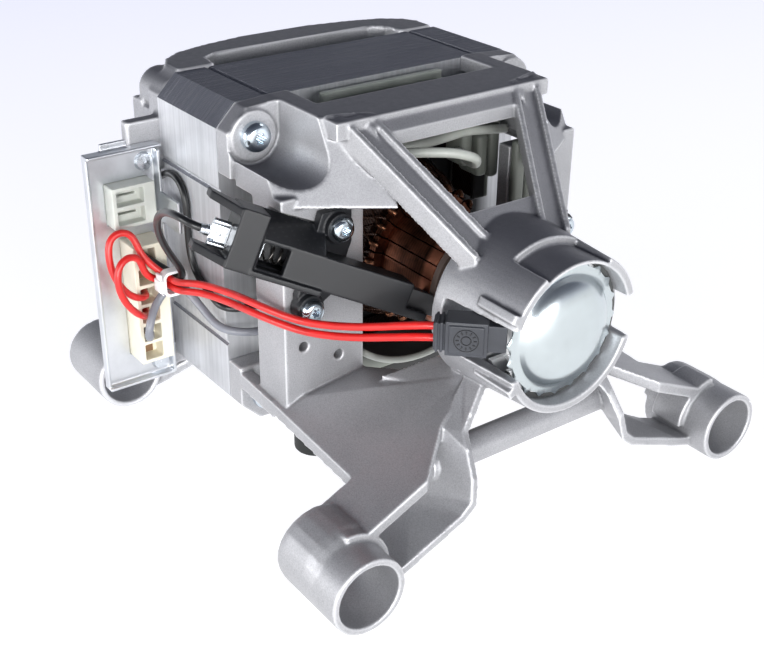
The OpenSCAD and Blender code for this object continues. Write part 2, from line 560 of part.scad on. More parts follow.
module bracket_rivets() {
  put() color(zinc) for (z = rivet_z) rotate([0, 90, 0]) translate([-z, -74, 0])
    rotate_extrude() polygon([[0, bkx - 6], [3.4, bkx - 6], [3.4, bkx - 5], [2.1, bkx - 5], [2.1, bkx + 1.2], [3.6, bkx + 1.2], [3, bkx + 2.4], [0, bkx + 2.8]]);
}
module cable_tie() {
  put() color([0.92, 0.93, 0.94]) translate([-128, -74.6, -10.6]) {
    difference() {
      box([-1.9, -5.1, -4.8], [1.9, 4.4, 4.9]);
      box([-3, -4, -3.7], [3, 3.3, 3.8]);
    }
    box([-2.4, -7, -2.4], [2.4, -5, 2.4]);
  }
}
// round tube swept along route points
function unit(v) = v/norm(v);
function side(t) = unit(cross(t, abs(t[2]) < 0.9 ? [0, 0, 1] : [0, 1, 0]));
module lead(p, d, n = 8) {
  m = len(p);
  t = [for (i = [0 : m - 1]) unit(p[min(i + 1, m - 1)] - p[max(i - 1, 0)])];
  pts = [for (i = [0 : m - 1]) let (u = side(t[i]), v = cross(t[i], u)) for (k = [0 : n - 1])
    p[i] + d/2*(cos(360*k/n)*u + sin(360*k/n)*v)];
  polyhedron(points = pts, faces = concat(
    [[for (k = [n - 1 : -1 : 0]) k]], [[for (k = [0 : n - 1]) (m - 1)*n + k]],
    [for (i = [0 : m - 2]) for (k = [0 : n - 1]) let (a = i*n + k, b = i*n + (k + 1) % n) each [[a, b, b + n], [a, b + n, a + n]]]));
}
red_up = [[-20.6, -33.4, 4.7], [-24, -37, 4.7], [-25.5, -38.6, 4.7], [-33, -45, 3.2], [-44, -52, 0], [-55, -60, -1.3], [-62, -64, -1.4],
  [-69, -66.4, -1.4], [-79, -68.6, -1.7], [-89, -70, -2.2], [-101, -71, -4], [-113, -73, -6], [-120, -75.4, -7.9], [-124.6, -76.2, -8.8], [-128, -76.2, -8.9],
  [-130.2, -77.1, -8.2], [-132.4, -80.4, -4.8], [-134, -83.8, 0], [-135, -85, 4.4], [-136, -86.4, 7.8], [-136.6, -89.9, 9.4], [-136.8, -93.7, 7.8],
  [-136.2, -95.2, 4], [-135.4, -95.4, -2], [-134.2, -94, -8], [-133.6, -90.6, -13.4], [-134.2, -86.4, -16.6], [-136.2, -82.7, -17.8], [-139, -81.2, -18], [-142.9, -81, -18]];
red_lo = [[-20.6, -33.4, 0.5], [-24, -37, 0.5], [-25.5, -38.6, 0.5], [-33, -45, -0.8], [-44, -52, -3.8], [-55, -60, -5], [-62, -64, -5],
  [-69, -66.4, -5], [-79, -68.6, -5.4], [-89, -70, -6], [-101, -71, -7.6], [-113, -73, -9.4], [-120, -75.4, -11.2], [-124.6, -76.2, -11.8], [-128, -76.2, -11.9],
  [-130.2, -76.7, -11.7], [-132, -78, -11], [-133, -80, -10], [-133, -82.2, -8.4], [-132.6, -84, -5.8], [-132, -85, -3], [-131.6, -86.3, 0.2], [-131.2, -89.9, 1.8], [-130.7, -93.6, 0.2], [-130.3, -95.2, -3.6],
  [-130, -95.2, -9.4], [-130, -93, -15.4], [-131, -89.2, -20.4], [-133.4, -85.6, -23.8], [-136.2, -82.6, -25.6], [-139, -81.2, -26], [-142.9, -81, -26]];
black_r = [[-76, -86.8, 30.9], [-76.8, -88.8, 31.9], [-78.8, -91.6, 33.4], [-83.6, -93, 34.4], [-91, -92.4, 33], [-99, -90.8, 30], [-107.4, -89, 25],
  [-114, -86.2, 17.4], [-118, -82.2, 9], [-120.4, -77.8, 1.6], [-122.4, -74.2, -4.2], [-124.8, -73, -7.8], [-128, -73, -8.9], [-130.8, -73.4, -8.9], [-133.4, -75.6, -7.4], [-135.8, -78.3, -5], [-138.8, -80.3, -3.2], [-142.9, -81, -2.8]];
grey_r = [[-98, -42.9, -24], [-98.2, -48, -24], [-98.8, -55, -24], [-100.4, -61, -23.6], [-103.2, -66, -22.8], [-106.8, -68.8, -21.8], [-111, -69.8, -20], [-115.6, -70.6, -17.6],
  [-120.6, -71.8, -14.2], [-124.8, -72.8, -12.3], [-128, -73, -12.1], [-130.6, -73.6, -13], [-132.8, -76.4, -15.8], [-132, -81, -20], [-129.4, -84.6, -24.4], [-128.8, -86, -29], [-131.2, -84.8, -32.4],
  [-136, -82, -33.6], [-139.6, -81.2, -33.6], [-142.9, -81, -33.6]];
black_b = [[-102, -42.9, -15], [-102, -49, -15], [-102, -56, -14.9], [-102.2, -61, -14.6], [-103.4, -65.6, -14.2], [-106.8, -68.2, -13.4], [-111.6, -68, -12.4], [-118, -67.5, -11],
  [-123.4, -67.4, -8.8], [-127, -67.4, -4.6], [-128.8, -67.4, 1], [-129, -67.4, 8], [-128.8, -67.4, 14.4], [-129.4, -67.4, 20], [-132.4, -67.4, 24.4],
  [-137.4, -67.4, 26], [-143, -67.4, 24.8], [-147.6, -67.5, 22.2], [-151, -68.6, 20], [-152.6, -71, 18.4], [-153, -73.2, 17.8]];
module red_lead_upper() { put() color([0.8, 0.12, 0.1]) lead(red_up, lead_d); }
module red_lead_lower() { put() color([0.8, 0.12, 0.1]) lead(red_lo, lead_d); }
module black_lead() { put() color([0.1, 0.1, 0.11]) lead(black_r, lead_d); }
module black_lead_rear() { put() color([0.1, 0.1, 0.11]) lead(black_b, lead_d); }
module grey_lead() { put() color([0.5, 0.5, 0.53]) lead(grey_r, lead_d + 0.4); }
module lead_grommet() { // rubber grommet under the left side plate
  put() color([0.1, 0.11, 0.11]) translate([-62, -57.5, -52]) cylinder(h = 6.6, r = 7.6);
}

rear_shield_frame_left();
rear_shield_frame_right();
rear_shield_hub_left();
rear_shield_hub_right();
rear_shield_arm_left();
rear_shield_arm_right();
front_end_shield();
stator_core();
field_coil_upper();
field_coil_lower();
coil_frame_upper();
coil_frame_lower();
rear_shield_screws();
front_shield_screws();
shaft();
rotor_core();
armature_winding();
commutator_bars();
commutator_hub();
cooling_fan();
drive_pulley();
front_bearing_outer();
front_bearing_inner();
front_bearing_balls();
rear_bearing_outer();
rear_bearing_inner();
rear_bearing_balls();
wave_washer();
shaft_circlip();
tacho_magnet();
tacho_coil();
tacho_cap();
tacho_plug();
brush_holder_left();
brush_holder_right();
carbon_brush_left();
carbon_brush_right();
brush_spring_left();
brush_spring_right();
brush_terminal_left();
brush_terminal_right();
brush_holder_screws();
terminal_sleeve();
terminal_bracket();
terminal_connector();
coding_connector();
connector_contacts();
bracket_rivets();
cable_tie();
red_lead_upper();
red_lead_lower();
black_lead();
black_lead_rear();
grey_lead();
lead_grommet();
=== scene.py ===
import bpy, bmesh, math, json
from mathutils import Vector, Matrix, noise


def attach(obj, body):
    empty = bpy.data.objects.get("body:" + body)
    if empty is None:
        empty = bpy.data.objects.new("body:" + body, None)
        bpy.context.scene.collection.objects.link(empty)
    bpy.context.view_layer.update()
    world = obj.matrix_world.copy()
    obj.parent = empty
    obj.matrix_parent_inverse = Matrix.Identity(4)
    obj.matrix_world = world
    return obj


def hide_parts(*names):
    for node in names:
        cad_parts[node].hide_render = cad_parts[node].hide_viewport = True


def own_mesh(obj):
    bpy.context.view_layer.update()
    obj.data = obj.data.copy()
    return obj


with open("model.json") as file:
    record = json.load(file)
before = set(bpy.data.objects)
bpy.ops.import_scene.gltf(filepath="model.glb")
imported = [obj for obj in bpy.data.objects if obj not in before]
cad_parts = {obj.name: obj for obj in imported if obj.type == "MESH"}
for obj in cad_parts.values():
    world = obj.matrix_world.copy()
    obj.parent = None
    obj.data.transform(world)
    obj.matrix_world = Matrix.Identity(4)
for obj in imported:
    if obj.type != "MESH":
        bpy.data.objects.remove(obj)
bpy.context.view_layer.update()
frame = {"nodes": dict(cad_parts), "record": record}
NODES = frame["nodes"]
scene = bpy.context.scene
coll = scene.collection

BODY = {}
for b, members in frame["record"]["behaviour"]["bodies"].items():
    for n in members:
        BODY[n] = b


def P(x, y, z):
    """Point given from the shaft axis and hub face in mm, in metres in the part's frame."""
    return Vector(((x + 105.2)/1000, y/1000, (z + 75.4)/1000))


# ------------------------------------------------------------------ camera
AZ, EL, ROLL = math.radians(53.542), math.radians(27.714), math.radians(0.612)
back = Vector((math.sin(AZ)*math.cos(EL), -math.cos(AZ)*math.cos(EL), math.sin(EL)))
right = Vector((math.cos(AZ), math.sin(AZ), 0.0))
up = back.cross(right)
c, s = math.cos(ROLL), math.sin(ROLL)
r2, u2 = c*right + s*up, -s*right + c*up
cam_data = bpy.data.cameras.new("camera")
cam = bpy.data.objects.new("camera", cam_data)
coll.objects.link(cam)
cam.matrix_world = Matrix(((r2.x, u2.x, back.x, 0.3423), (r2.y, u2.y, back.y, -0.250733),
                           (r2.z, u2.z, back.z, 0.257502), (0, 0, 0, 1)))
cam_data.sensor_fit = "HORIZONTAL"
cam_data.sensor_width = 36.0
cam_data.lens = 1220.958/764*36.0
cam_data.clip_start, cam_data.clip_end = 0.01, 20
scene.camera = cam


# ------------------------------------------------------------------ materials
class Mat:
    """Small helper around a node material; coordinates are the part's own, in metres."""

    def __init__(self, name, base, rough=0.5, metal=0.0, spec=0.5, coat=0.0, coat_rough=0.1):
        self.m = bpy.data.materials.new(name)
        self.m.use_nodes = True
        self.t = self.m.node_tree
        self.b = self.t.nodes["Principled BSDF"]
        self.b.inputs["Base Color"].default_value = (*base, 1)
        self.b.inputs["Roughness"].default_value = rough
        self.b.inputs["Metallic"].default_value = metal
        self.b.inputs["Specular IOR Level"].default_value = spec
        self.b.inputs["Coat Weight"].default_value = coat
        self.b.inputs["Coat Roughness"].default_value = coat_rough
        self.m.diffuse_color = (*base, 1)
        self.co = self.t.nodes.new("ShaderNodeTexCoord")
        self.height = None

    def new(self, kind):
        return self.t.nodes.new(kind)

    def link(self, a, b):
        self.t.links.new(a, b)

    def coords(self, scale=(1, 1, 1), rot=(0, 0, 0)):
        n = self.new("ShaderNodeMapping")
        n.inputs["Scale"].default_value = scale
        n.inputs["Rotation"].default_value = rot
        self.link(self.co.outputs["Object"], n.inputs["Vector"])
        return n.outputs["Vector"]

    def noise(self, scale, detail=3.0, rough=0.55, stretch=(1, 1, 1)):
        n = self.new("ShaderNodeTexNoise")
        n.inputs["Scale"].default_value = scale
        n.inputs["Detail"].default_value = detail
        n.inputs["Roughness"].default_value = rough
        self.link(self.coords(stretch), n.inputs["Vector"])
        return n.outputs["Fac"]

    def voronoi(self, scale, stretch=(1, 1, 1)):
        n = self.new("ShaderNodeTexVoronoi")
        n.inputs["Scale"].default_value = scale
        self.link(self.coords(stretch), n.inputs["Vector"])
        return n.outputs["Distance"]

    def wave(self, scale, axis="X", distortion=0.0, detail=2.0, profile="SIN"):
        n = self.new("ShaderNodeTexWave")
        n.wave_type, n.bands_direction, n.wave_profile = "BANDS", axis, profile
        n.inputs["Scale"].default_value = scale
        n.inputs["Distortion"].default_value = distortion
        n.inputs["Detail"].default_value = detail
        self.link(self.co.outputs["Object"], n.inputs["Vector"])
        return n.outputs["Fac"]

    def ramp(self, fac, stops):
        n = self.new("ShaderNodeValToRGB")
        e = n.color_ramp.elements
        while len(e) < len(stops):
            e.new(0.5)
        for el, (p, col) in zip(e, stops):
            el.position = p
            el.color = (*col, 1) if len(col) == 3 else col
        self.link(fac, n.inputs["Fac"])
        return n.outputs["Color"]

    def mix(self, fac, a, b, mode="MIX"):
        n = self.new("ShaderNodeMix")
        n.data_type, n.blend_type = "RGBA", mode
        n.clamp_result = True
        for sock, v in (("Factor_Float", fac), ("A_Color", a), ("B_Color", b)):
            i = next(x for x in n.inputs if x.identifier == sock)
            if isinstance(v, (int, float)):
                i.default_value = v
            elif isinstance(v, tuple):
                i.default_value = (*v, 1)
            else:
                self.link(v, i)
        return next(x for x in n.outputs if x.identifier == "Result_Color")

    def math(self, op, a, b=0.0):
        n = self.new("ShaderNodeMath")
        n.operation = op
        for i, v in enumerate((a, b)):
            if isinstance(v, (int, float)):
                n.inputs[i].default_value = v
            else:
                self.link(v, n.inputs[i])
        return n.outputs[0]

    def facing(self, axis, lo, hi, both=False):
        """0 to 1 as the surface turns towards an axis of the part."""
        g = self.new("ShaderNodeNewGeometry")
        x = self.new("ShaderNodeSeparateXYZ")
        self.link(g.outputs["Normal"], x.inputs[0])
        v = x.outputs[axis]
        if both:
            v = self.math("ABSOLUTE", v)
        n = self.new("ShaderNodeMapRange")
        n.inputs["From Min"].default_value = lo
        n.inputs["From Max"].default_value = hi
        self.link(v, n.inputs["Value"])
        return n.outputs["Result"]

    def radial(self, lo, hi):
        """0 to 1 between two distances from the shaft axis, in metres."""
        x = self.new("ShaderNodeSeparateXYZ")
        self.link(self.co.outputs["Object"], x.inputs[0])
        z = self.math("SUBTRACT", x.outputs["Z"], 0.0754)
        r = self.math("SQRT", self.math("ADD", self.math("MULTIPLY", x.outputs["Y"], x.outputs["Y"]), self.math("MULTIPLY", z, z)))
        n = self.new("ShaderNodeMapRange")
        n.inputs["From Min"].default_value = lo
        n.inputs["From Max"].default_value = hi
        self.link(r, n.inputs["Value"])
        return n.outputs["Result"]

    def along(self, axis, lo, hi, both=False):
        """0 to 1 between two places along an axis of the part, in metres."""
        x = self.new("ShaderNodeSeparateXYZ")
        self.link(self.co.outputs["Object"], x.inputs[0])
        v = self.math("ABSOLUTE", x.outputs[axis]) if both else x.outputs[axis]
        n = self.new("ShaderNodeMapRange")
        n.inputs["From Min"].default_value = lo
        n.inputs["From Max"].default_value = hi
        self.link(v, n.inputs["Value"])
        return n.outputs["Result"]

    # Pointiness mask of sharp edges, used to paint highlights on them.
    def edges(self, lo=0.5, hi=0.58):
        g = self.new("ShaderNodeNewGeometry")
        return self.ramp(g.outputs["Pointiness"], [(lo, (0, 0, 0)), (hi, (1, 1, 1))])

    # Pointiness mask of hollows, used to paint shade into them.
    def hollows(self, lo=0.42, hi=0.5):
        g = self.new("ShaderNodeNewGeometry")
        return self.ramp(g.outputs["Pointiness"], [(lo, (1, 1, 1)), (hi, (0, 0, 0))])

    def colour(self, sock):
        self.link(sock, self.b.inputs["Base Color"])
        return self

    def rough(self, fac, lo, hi):
        n = self.new("ShaderNodeMapRange")
        n.inputs["To Min"].default_value = lo
        n.inputs["To Max"].default_value = hi
        self.link(fac, n.inputs["Value"])
        self.link(n.outputs["Result"], self.b.inputs["Roughness"])
        return self

    def bump(self, fac, strength, dist):
        n = self.new("ShaderNodeBump")
        n.inputs["Strength"].default_value = strength
        n.inputs["Distance"].default_value = dist
        self.link(fac, n.inputs["Height"])
        if self.height is not None:
            self.link(self.height, n.inputs["Normal"])
        self.height = n.outputs["Normal"]
        self.link(self.height, self.b.inputs["Normal"])
        return self


M = {}


def cast_metal(name, dark, light, edge_highlight):
    a = Mat(name, light, 0.5, 0.55)
    grain = a.noise(2300, 4, 0.6)
    blotch = a.noise(34, 3, 0.5)
    fleck = a.voronoi(700)
    col = a.ramp(grain, [(0.30, dark), (0.64, light)])
    col = a.mix(0.4, col, a.ramp(blotch, [(0.35, dark), (0.7, light)]))
    col = a.mix(a.ramp(fleck, [(0.05, (0.25, 0.25, 0.25)), (0.22, (0, 0, 0))]), col, tuple(0.6*v for v in dark))
    # painted shade: hollows darkened
    col = a.mix(a.hollows(0.44, 0.495), col, tuple(0.5*v for v in dark))
    # painted shade and reflection: up-facing faces high on the part turned dark blue-grey, as from a dark ceiling
    col = a.mix(a.math("MULTIPLY", a.math("MULTIPLY", a.facing("Z", 0.3, 0.95), a.along("Z", 0.045, 0.095)), 0.88), col, (0.10, 0.102, 0.122))
    # painted highlight: sharp edges lightened towards near white
    col = a.mix(a.edges(0.512, 0.575), col, edge_highlight)
    scratch = a.noise(160, 2, 0.5, (1, 9, 1))
    a.colour(col).rough(a.noise(420, 3), 0.36, 0.56)
    a.bump(grain, 0.22, 0.00016).bump(blotch, 0.12, 0.0006).bump(scratch, 0.05, 0.0002)
    return a.m


M["cast_aluminium"] = cast_metal("cast_aluminium", (0.30, 0.302, 0.318), (0.52, 0.522, 0.54), (0.86, 0.862, 0.88))


def stack_metal(name, lo, hi):
    a = Mat(name, hi, 0.4, 0.7)
    streak = a.noise(700, 3, 0.6, (1, 1, 0.02))
    wide = a.noise(120, 3, 0.6, (1, 0.3, 0.06))
    blotch = a.noise(30, 4, 0.6)
    col = a.ramp(streak, [(0.3, lo), (0.7, hi)])
    col = a.mix(0.45, col, a.ramp(wide, [(0.3, lo), (0.7, hi)]))
    col = a.mix(0.35, col, a.ramp(blotch, [(0.35, lo), (0.7, hi)]))
    # painted shade: hollows darkened
    col = a.mix(a.hollows(0.40, 0.49), col, tuple(0.35*v for v in lo))
    # painted shade and reflection: up-facing faces darkened to blue-grey
    col = a.mix(a.facing("Z", 0.3, 0.75), col, (0.24*lo[0], 0.25*lo[1], 0.31*lo[2]))
    # painted shade: faces turned along the shaft, close to the bore, made near black
    near = a.radial(0.056, 0.049)
    col = a.mix(a.math("MULTIPLY", a.facing("X", 0.5, 0.9, True), near), col, tuple(0.07*v for v in lo))
    a.colour(col).rough(blotch, 0.30, 0.55)
    a.bump(streak, 0.12, 0.00012).bump(wide, 0.08, 0.0003)
    return a.m


M["stack_steel"] = stack_metal("stack_steel", (0.44, 0.45, 0.47), (0.80, 0.81, 0.84))
M["rotor_steel"] = stack_metal("rotor_steel", (0.10, 0.095, 0.09), (0.22, 0.21, 0.20))


def zinc(name, base, lo, hi, blotchy=0.3):
    a = Mat(name, base, lo, 1.0)
    n1, n2 = a.noise(90, 4, 0.6), a.noise(1400, 2)
    dark = tuple(0.72*v for v in base)
    col = a.ramp(n1, [(0.3, dark), (0.62, base)])
    col = a.mix(1 - blotchy, col, base)
    a.colour(col).rough(n1, lo, hi)
    a.bump(n2, 0.05, 0.00008).bump(a.noise(300, 2), 0.04, 0.0002)
    return a.m


M["zinc_steel"] = zinc("zinc_steel", (0.74, 0.78, 0.83), 0.20, 0.36)
M["zinc_cap"] = zinc("zinc_cap", (0.66, 0.72, 0.74), 0.20, 0.30, 0.25)
M["zinc_sheet"] = zinc("zinc_sheet", (0.74, 0.76, 0.79), 0.26, 0.46, 0.45)
M["zinc_screw"] = zinc("zinc_screw", (0.68, 0.76, 0.82), 0.12, 0.26, 0.5)
M["spring_steel"] = zinc("spring_steel", (0.16, 0.15, 0.14), 0.3, 0.5, 0.6)
M["shaft_steel"] = zinc("shaft_steel", (0.58, 0.59, 0.61), 0.22, 0.4, 0.5)


def plastic(name, base, rough, spec=0.45, grain=900, depth=0.12, vary=0.25, edge_highlight=0.25):
    a = Mat(name, base, rough, 0.0, spec)
    n1, n2 = a.noise(60, 3), a.noise(grain, 3, 0.6)
    lo = tuple(v*(1 - vary) for v in base)
    hi = tuple(min(1.0, v*(1 + vary)) for v in base)
    col = a.ramp(n1, [(0.3, lo), (0.7, hi)])
    # painted highlight: sharp edges lightened
    col = a.mix(a.edges(0.52, 0.62), col, tuple(min(1.0, v + edge_highlight*(0.35 + v)*0.6) for v in base))
    a.colour(col).rough(n1, rough*0.82, min(1.0, rough*1.2))
    a.bump(n2, depth, 0.00012)
    return a.m




def frame_plastic():
    """Pale moulding, painted near black towards the shaft as painted shade."""
    a = Mat("frame_plastic", (0.62, 0.66, 0.60), 0.38, 0.0, 0.45)
    n1, n2 = a.noise(60, 3), a.noise(900, 3, 0.6)
    # painted shade: near black within about 46 mm of the shaft, pale beyond 53.5 mm and on the outer side walls
    unshaded_mask = a.math("MAXIMUM", a.radial(0.046, 0.0535), a.along("Y", 0.0405, 0.0418, True))
    lit_tone = a.ramp(n1, [(0.3, (0.34, 0.37, 0.325)), (0.7, (0.46, 0.49, 0.435))])
    a.colour(a.mix(unshaded_mask, (0.022, 0.022, 0.02), lit_tone)).rough(n1, 0.3, 0.5)
    a.bump(n2, 0.1, 0.00012)
    return a.m


M["frame_plastic"] = frame_plastic()
M["black_plastic"] = plastic("black_plastic", (0.0105, 0.0112, 0.0135), 0.40, 0.38, edge_highlight=0.05)
M["grey_plastic"] = plastic("grey_plastic", (0.042, 0.045, 0.054), 0.42, edge_highlight=0.12)
M["cream_plastic"] = plastic("cream_plastic", (0.80, 0.76, 0.62), 0.36, vary=0.08, edge_highlight=0.12)
M["olive_plastic"] = plastic("olive_plastic", (0.62, 0.64, 0.59), 0.42, vary=0.16, edge_highlight=0.15)
M["contact_brown"] = plastic("contact_brown", (0.20, 0.105, 0.045), 0.4, vary=0.3)
M["white_nylon"] = plastic("white_nylon", (0.86, 0.87, 0.88), 0.34, vary=0.05, edge_highlight=0.05, depth=0.06)
M["moulding_brown"] = plastic("moulding_brown", (0.06, 0.035, 0.025), 0.5)
M["carbon"] = plastic("carbon", (0.022, 0.022, 0.024), 0.62, 0.3, grain=2200, depth=0.3)
M["magnet"] = plastic("magnet", (0.05, 0.05, 0.055), 0.6, 0.35, grain=1600, depth=0.3)
M["black_rubber"] = plastic("black_rubber", (0.018, 0.02, 0.02), 0.6, 0.35, grain=700, depth=0.2)


def pvc(name, base, rough, vary):
    a = Mat(name, base, rough, 0.0, 0.5, coat=0.25, coat_rough=0.2)
    n1, n2 = a.noise(120, 3), a.noise(1300, 2)
    col = a.ramp(n1, [(0.3, tuple(v*(1 - vary) for v in base)), (0.7, tuple(min(1, v*(1 + vary)) for v in base))])
    a.colour(col).rough(n1, rough*0.85, rough*1.25)
    a.bump(n2, 0.08, 0.00012).bump(n1, 0.1, 0.0005)
    return a.m


M["red_insulation"] = pvc("red_insulation", (0.62, 0.016, 0.014), 0.34, 0.18)
M["black_insulation"] = pvc("black_insulation", (0.0055, 0.006, 0.007), 0.34, 0.3)
M["grey_insulation"] = pvc("grey_insulation", (0.21, 0.22, 0.25), 0.38, 0.14)
# pale sleeving toned down to mid grey, partly painted shade inside the shield
M["sleeve_white"] = pvc("sleeve_white", (0.40, 0.42, 0.385), 0.42, 0.12)
# white coil guides toned down to dark grey as painted shade inside the shield
M["guide_painted_shade"] = plastic("guide_painted_shade", (0.115, 0.125, 0.108), 0.42, vary=0.45)
# pale frame skirt painted near black as shade
M["skirt_painted_shade"] = plastic("skirt_painted_shade", (0.020, 0.020, 0.019), 0.5, vary=0.4)


def copper(name, base, dark, rough, scale, axis="X", worn=None):
    a = Mat(name, base, rough, 1.0)
    turn = a.wave(scale, axis, 1.2, 3)
    stain = a.noise(110, 4, 0.65)
    col = a.ramp(stain, [(0.34, dark), (0.62, base)])
    col = a.mix(0.25, col, a.ramp(turn, [(0.2, dark), (0.7, base)]))
    if worn:
        col = a.mix(a.along("X", *worn), col, tuple(min(1.0, 2.6*v) for v in base))
    a.colour(col).rough(stain, rough*0.8, rough*1.5)
    a.bump(turn, 0.15, 0.0001)
    return a.m


# commutator copper toned very dark, partly real oxide and partly painted shade for the shadowed inside
M["commutator_copper"] = copper("commutator_copper", (0.22, 0.085, 0.05), (0.022, 0.011, 0.008), 0.36, 260, worn=(0.0500, 0.0520))
M["hook_copper"] = copper("hook_copper", (0.34, 0.15, 0.085), (0.05, 0.02, 0.012), 0.34, 300)


# dark enamelled wire, toned darker still as painted shade for the shadowed inside
def enamel():
    a = Mat("winding_copper", (0.10, 0.035, 0.018), 0.36, 0.5, coat=0.2, coat_rough=0.25)
    strand = a.wave(420, "DIAGONAL", 3.0, 3)
    stain = a.noise(70, 4, 0.6)
    col = a.ramp(strand, [(0.15, (0.018, 0.008, 0.006)), (0.7, (0.060, 0.024, 0.013))])
    col = a.mix(0.4, col, a.ramp(stain, [(0.3, (0.016, 0.008, 0.006)), (0.7, (0.065, 0.027, 0.015))]))
    a.colour(col).rough(stain, 0.24, 0.5)
    a.bump(strand, 0.5, 0.0004)
    return a.m


M["winding_copper"] = enamel()


# ------------------------------------------------------------------ mesh helpers
def add(name, mesh, body, slot, mat=None, nodes=()):
    o = bpy.data.objects.new(name, mesh)
    coll.objects.link(o)
    mesh.materials.clear()
    mesh.materials.append(M[mat or slot])
    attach(o, body)
    if nodes:
        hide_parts(*nodes)
    return o


def smooth(mesh, angle=None):
    for p in mesh.polygons:
        p.use_smooth = True
    if angle is not None:
        bm = bmesh.new()
        bm.from_mesh(mesh)
        for e in bm.edges:
            e.smooth = len(e.link_faces) == 2 and e.calc_face_angle(0) < math.radians(angle)
        bm.to_mesh(mesh)
        bm.free()
    return mesh


def cad_mesh(*nodes):
    """Welded copy of the CAD meshes of some nodes."""
    bm = bmesh.new()
    for n in nodes:
        bm.from_mesh(NODES[n].data)
    bmesh.ops.remove_doubles(bm, verts=bm.verts, dist=2e-6)
    me = bpy.data.meshes.new("_".join(nodes))
    bm.to_mesh(me)
    bm.free()
    return me


def baked(obj):
    dg = bpy.context.evaluated_depsgraph_get()
    me = bpy.data.meshes.new_from_object(obj.evaluated_get(dg))
    bpy.data.objects.remove(obj)
    return me


def remeshed(me, voxel, rounds, factor=0.5):
    """Even surface with softly rounded edges, as a casting or a moulding has."""
    o = bpy.data.objects.new("tmp", me)
    coll.objects.link(o)
    r = o.modifiers.new("r", "REMESH")
    r.mode, r.voxel_size, r.adaptivity = "VOXEL", voxel, 0.0
    if rounds:
        k = o.modifiers.new("s", "SMOOTH")
        k.factor, k.iterations = factor, rounds
    bpy.context.view_layer.update()
    out = baked(o)
    return smooth(out)


def moulded(node, voxel, rounds, slot, mat=None, factor=0.5, name=None):
    me = remeshed(cad_mesh(node), voxel, rounds, factor)
    return add(name or node + "_skin", me, BODY[node], slot, mat, (node,))


def from_bm(name, bm):
    bmesh.ops.recalc_face_normals(bm, faces=bm.faces)
    me = bpy.data.meshes.new(name)
    bm.to_mesh(me)
    bm.free()
    return me


def tube_into(bm, pts, r, n=10, caps=True, closed=False):
    """Round tube swept along points (parallel transport)."""
    pts = [Vector(p) for p in pts]
    m = len(pts)
    tang = []
    for i in range(m):
        a = pts[(i - 1) % m] if closed else pts[max(i - 1, 0)]
        b = pts[(i + 1) % m] if closed else pts[min(i + 1, m - 1)]
        tang.append((b - a).normalized())
    u = tang[0].orthogonal().normalized()
    rings = []
    for i in range(m):
        t = tang[i]
        u = (u - t*u.dot(t)).normalized()
        v = t.cross(u)
        rr = r(i/(m - 1)) if callable(r) else r
        rings.append([bm.verts.new(pts[i] + rr*(math.cos(2*math.pi*k/n)*u + math.sin(2*math.pi*k/n)*v)) for k in range(n)])
    for i in range(m if closed else m - 1):
        A, B = rings[i], rings[(i + 1) % m]
        for k in range(n):
            bm.faces.new((A[k], A[(k + 1) % n], B[(k + 1) % n], B[k]))
    if caps and not closed:
        bm.faces.new(rings[0][::-1])
        bm.faces.new(rings[-1])


def lathe_into(bm, prof, n=96, axis_x=True, wobble=None, close=True):
    """Surface of revolution about the shaft axis; prof holds (radius, x) in mm, closed loop."""
    rings = []
    for k in range(n):
        a = 2*math.pi*k/n
        row = []
        for j, (r, x) in enumerate(prof):
            rr = r if wobble is None else wobble(j, r, a)
            row.append(bm.verts.new(P(x, rr*math.cos(a), rr*math.sin(a))))
        rings.append(row)
    m = len(prof)
    for k in range(n):
        A, B = rings[k], rings[(k + 1) % n]
        for j in range(m if close else m - 1):
            q = (A[j], A[(j + 1) % m], B[(j + 1) % m], B[j])
            bm.faces.new(q)


def rbox_into(bm, lo, hi, r, seg=3, mat4=None):
    """Box with rounded edges, corners in metres."""
    lo, hi = Vector(lo), Vector(hi)
    b2 = bmesh.new()
    bmesh.ops.create_cube(b2, size=1.0)
    for v in b2.verts:
        v.co = Vector(((lo[i] + hi[i])/2 + v.co[i]*(hi[i] - lo[i]) for i in range(3)))
    bmesh.ops.bevel(b2, geom=list(b2.edges), offset=r, segments=seg, affect="EDGES", profile=0.5)
    if mat4 is not None:
        bmesh.ops.transform(b2, matrix=mat4, verts=b2.verts)
    t = bpy.data.meshes.new("t")
    b2.to_mesh(t)
    b2.free()
    bm.from_mesh(t)
    bpy.data.meshes.remove(t)


def catmull(pts, k=8):
    pts = [Vector(p) for p in pts]
    ext = [2*pts[0] - pts[1]] + pts + [2*pts[-1] - pts[-2]]
    out = []
    for i in range(1, len(ext) - 2):
        p0, p1, p2, p3 = ext[i - 1:i + 3]
        t0 = 0.0
        t1 = t0 + max(1e-9, (p1 - p0).length)**0.5
        t2 = t1 + max(1e-9, (p2 - p1).length)**0.5
        t3 = t2 + max(1e-9, (p3 - p2).length)**0.5
        for j in range(k):
            t = t1 + (t2 - t1)*j/k
            a1 = p0*((t1 - t)/(t1 - t0)) + p1*((t - t0)/(t1 - t0))
            a2 = p1*((t2 - t)/(t2 - t1)) + p2*((t - t1)/(t2 - t1))
            a3 = p2*((t3 - t)/(t3 - t2)) + p3*((t - t2)/(t3 - t2))
            b1 = a1*((t2 - t)/(t2 - t0)) + a2*((t - t0)/(t2 - t0))
            b2 = a2*((t3 - t)/(t3 - t1)) + a3*((t - t1)/(t3 - t1))
            out.append(b1*((t2 - t)/(t2 - t1)) + b2*((t - t1)/(t2 - t1)))
    out.append(pts[-1])
    return out


def relaxed(pts, rounds):
    """Even out a route between its fixed ends."""
    pts = [p.copy() for p in pts]
    for _ in range(rounds):
        pts = [pts[0], pts[1]] + [pts[i]*0.5 + (pts[i - 1] + pts[i + 1])*0.25 for i in range(2, len(pts) - 2)] + [pts[-2], pts[-1]]
    return pts


def length(pts):
    return sum((b - a).length for a, b in zip(pts[:-1], pts[1:]))


